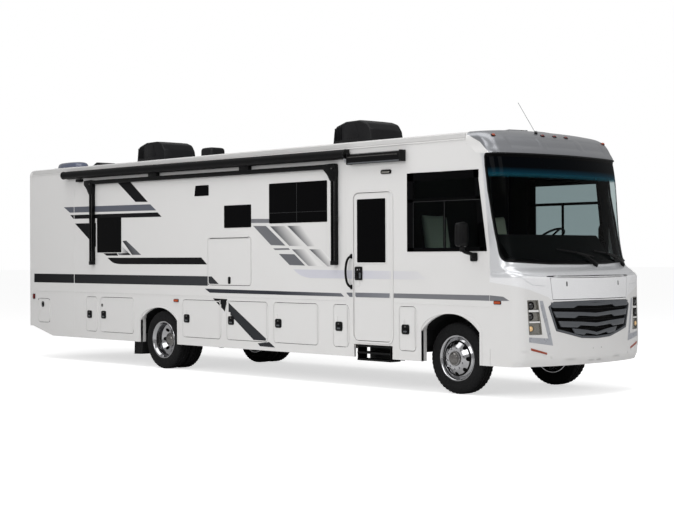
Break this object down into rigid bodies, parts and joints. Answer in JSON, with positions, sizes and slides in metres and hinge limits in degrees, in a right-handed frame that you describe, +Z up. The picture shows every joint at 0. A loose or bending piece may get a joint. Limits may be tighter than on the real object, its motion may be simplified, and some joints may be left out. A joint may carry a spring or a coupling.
{
  "type": "motorhome",
  "caption": "Bus-style motorhome with hinged side storage doors, entry door with pull-out step, steered front wheels, twin rear wheels, patio awning and roof air conditioners.",
  "frame": {"origin": "on the ground under the middle of the whole vehicle", "axes": "+X forward, +Y to the left, +Z up"},
  "size_m": [12.074, 3.19, 3.8763],
  "materials": {
    "body_paint": "gloss",
    "silver_paint": "gloss",
    "roof_skin": "satin",
    "chassis_black": "satin",
    "cast": "matte",
    "alloy": "polished",
    "tyre": "matte",
    "glass_dark": "tinted",
    "glass_clear": "clear",
    "black_plastic": "matte",
    "grille_plastic": "satin",
    "lamp": "clear lens",
    "red_lens": "lens",
    "galvanised": "satin",
    "liner": "matte",
    "floor_mat": "matte",
    "seat_cloth": "matte",
    "dash_plastic": "matte",
    "awning_black": "satin",
    "ladder_alloy": "satin"
  },
  "bodies": {
    "vehicle": {"air_conditioners": "black_plastic", "cab_seats": "seat_cloth", "chassis_frame": "chassis_black", "dashboard": "dash_plastic", "door_awning": "awning_black", "drive_shaft": "galvanised", "engine": "cast", "entry_stepwell": "floor_mat", "exhaust": "galvanised", "floor": "floor_mat", "front_axle": "cast", "front_cap": "silver_paint", "fuel_tank": "chassis_black", "grille": "grille_plastic", "headlights": "lamp", "hitch_receiver": "chassis_black", "ladder": "ladder_alloy", "leaf_springs": "chassis_black", "left_wall": "body_paint", "mirrors": "black_plastic", "patio_awning": "awning_black", "rear_axle": "cast", "rear_wall": "body_paint", "right_wall": "body_paint", "roof": "roof_skin", "roof_fittings": "black_plastic", "side_windows": "glass_dark", "storage_bays": "liner", "tail_lights": "red_lens", "wheel_wells": "liner", "windshield": "glass_clear", "wipers": "black_plastic"},
    "right_knuckle": {"right_knuckle": "cast"},
    "front_right_wheel": {"front_right_wheel": "alloy", "front_right_tyre": "tyre"},
    "rear_right_wheels": {"rear_right_wheels": "alloy", "rear_right_tyres": "tyre"},
    "left_knuckle": {"left_knuckle": "cast"},
    "front_left_wheel": {"front_left_wheel": "alloy", "front_left_tyre": "tyre"},
    "rear_left_wheels": {"rear_left_wheels": "alloy", "rear_left_tyres": "tyre"},
    "steering_wheel": {"steering_wheel": "black_plastic"},
    "right_entertainment_door": {"right_entertainment_door": "body_paint"},
    "right_cord_door": {"right_cord_door": "body_paint"},
    "right_service_door": {"right_service_door": "body_paint"},
    "right_rear_storage_door": {"right_rear_storage_door": "body_paint"},
    "right_middle_storage_door_a": {"right_middle_storage_door_a": "body_paint"},
    "right_middle_storage_door_b": {"right_middle_storage_door_b": "body_paint"},
    "right_middle_storage_door_c": {"right_middle_storage_door_c": "body_paint"},
    "right_battery_door": {"right_battery_door": "body_paint"},
    "right_front_service_door": {"right_front_service_door": "body_paint"},
    "left_rear_storage_door": {"left_rear_storage_door": "body_paint"},
    "left_middle_storage_door_a": {"left_middle_storage_door_a": "body_paint"},
    "left_middle_storage_door_b": {"left_middle_storage_door_b": "body_paint"},
    "left_middle_storage_door_c": {"left_middle_storage_door_c": "body_paint"},
    "entry_door": {"entry_door": "body_paint", "entry_door_window": "glass_dark"},
    "hood": {"hood": "silver_paint"},
    "entry_step": {"entry_step": "black_plastic"}
  },
  "joints": [
    {"name": "right_steer", "type": "hinge", "parent": "vehicle", "child": "right_knuckle", "pos_m": [4.583, -0.86, 0.475], "axis": [0, 0, 1], "range_deg": [-38, 38]},
    {"name": "front_right_spin", "type": "hinge", "parent": "right_knuckle", "child": "front_right_wheel", "pos_m": [4.583, -0.985, 0.475], "axis": [0, 1, 0], "continuous": true},
    {"name": "rear_right_spin", "type": "hinge", "parent": "vehicle", "child": "rear_right_wheels", "pos_m": [-1.817, -0.968, 0.475], "axis": [0, 1, 0], "continuous": true},
    {"name": "left_steer", "type": "hinge", "parent": "vehicle", "child": "left_knuckle", "pos_m": [4.583, 0.86, 0.475], "axis": [0, 0, 1], "range_deg": [-38, 38]},
    {"name": "front_left_spin", "type": "hinge", "parent": "left_knuckle", "child": "front_left_wheel", "pos_m": [4.583, 0.985, 0.475], "axis": [0, 1, 0], "continuous": true},
    {"name": "rear_left_spin", "type": "hinge", "parent": "vehicle", "child": "rear_left_wheels", "pos_m": [-1.817, 0.968, 0.475], "axis": [0, 1, 0], "continuous": true},
    {"name": "steering_wheel_turn", "type": "hinge", "parent": "vehicle", "child": "steering_wheel", "pos_m": [4.763, 0.62, 2.07], "axis": [-0.5736, 0, 0.8192], "range_deg": [-640, 640]},
    {"name": "right_entertainment_door_hinge", "type": "hinge", "parent": "vehicle", "child": "right_entertainment_door", "pos_m": [-0.008, -1.2863, 2.132], "axis": [-1, 0, 0], "range_deg": [0, 95]},
    {"name": "right_cord_door_hinge", "type": "hinge", "parent": "vehicle", "child": "right_cord_door", "pos_m": [-5.227, -1.2863, 0.875], "axis": [0, 0, 1], "range_deg": [0, 110]},
    {"name": "right_service_door_hinge", "type": "hinge", "parent": "vehicle", "child": "right_service_door", "pos_m": [-3.691, -1.2863, 0.8475], "axis": [0, 0, 1], "range_deg": [0, 110]},
    {"name": "right_rear_storage_door_hinge", "type": "hinge", "parent": "vehicle", "child": "right_rear_storage_door", "pos_m": [-2.588, -1.2863, 0.8475], "axis": [0, 0, 1], "range_deg": [0, 110]},
    {"name": "right_middle_storage_door_a_hinge", "type": "hinge", "parent": "vehicle", "child": "right_middle_storage_door_a", "pos_m": [-0.227, -1.2863, 0.8475], "axis": [0, 0, 1], "range_deg": [0, 110]},
    {"name": "right_middle_storage_door_b_hinge", "type": "hinge", "parent": "vehicle", "child": "right_middle_storage_door_b", "pos_m": [0.913, -1.2863, 0.8475], "axis": [0, 0, 1], "range_deg": [0, 110]},
    {"name": "right_middle_storage_door_c_hinge", "type": "hinge", "parent": "vehicle", "child": "right_middle_storage_door_c", "pos_m": [2.045, -1.2863, 0.8475], "axis": [0, 0, 1], "range_deg": [0, 110]},
    {"name": "right_battery_door_hinge", "type": "hinge", "parent": "vehicle", "child": "right_battery_door", "pos_m": [2.688, -1.2863, 0.8475], "axis": [0, 0, 1], "range_deg": [0, 110]},
    {"name": "right_front_service_door_hinge", "type": "hinge", "parent": "vehicle", "child": "right_front_service_door", "pos_m": [4.011, -1.2863, 0.8475], "axis": [0, 0, 1], "range_deg": [0, 110]},
    {"name": "left_rear_storage_door_hinge", "type": "hinge", "parent": "vehicle", "child": "left_rear_storage_door", "pos_m": [-2.588, 1.2863, 0.8475], "axis": [0, 0, -1], "range_deg": [0, 110]},
    {"name": "left_middle_storage_door_a_hinge", "type": "hinge", "parent": "vehicle", "child": "left_middle_storage_door_a", "pos_m": [-0.227, 1.2863, 0.8475], "axis": [0, 0, -1], "range_deg": [0, 110]},
    {"name": "left_middle_storage_door_b_hinge", "type": "hinge", "parent": "vehicle", "child": "left_middle_storage_door_b", "pos_m": [0.913, 1.2863, 0.8475], "axis": [0, 0, -1], "range_deg": [0, 110]},
    {"name": "left_middle_storage_door_c_hinge", "type": "hinge", "parent": "vehicle", "child": "left_middle_storage_door_c", "pos_m": [2.045, 1.2863, 0.8475], "axis": [0, 0, -1], "range_deg": [0, 110]},
    {"name": "entry_door_hinge", "type": "hinge", "parent": "vehicle", "child": "entry_door", "pos_m": [3.563, -1.2863, 1.6815], "axis": [0, 0, 1], "range_deg": [0, 100]},
    {"name": "hood_hinge", "type": "hinge", "parent": "vehicle", "child": "hood", "pos_m": [6.023, 0, 1.55], "axis": [0, -1, 0], "range_deg": [0, 70]},
    {"name": "entry_step_slide", "type": "slide", "parent": "vehicle", "child": "entry_step", "axis": [0, -1, 0], "range_m": [0, 0.26]}
  ],
  "couplings": [
    {"joint": "left_steer", "follows": "right_steer", "ratio": 1},
    {"joint": "steering_wheel_turn", "follows": "right_steer", "ratio": 16}
  ]
}
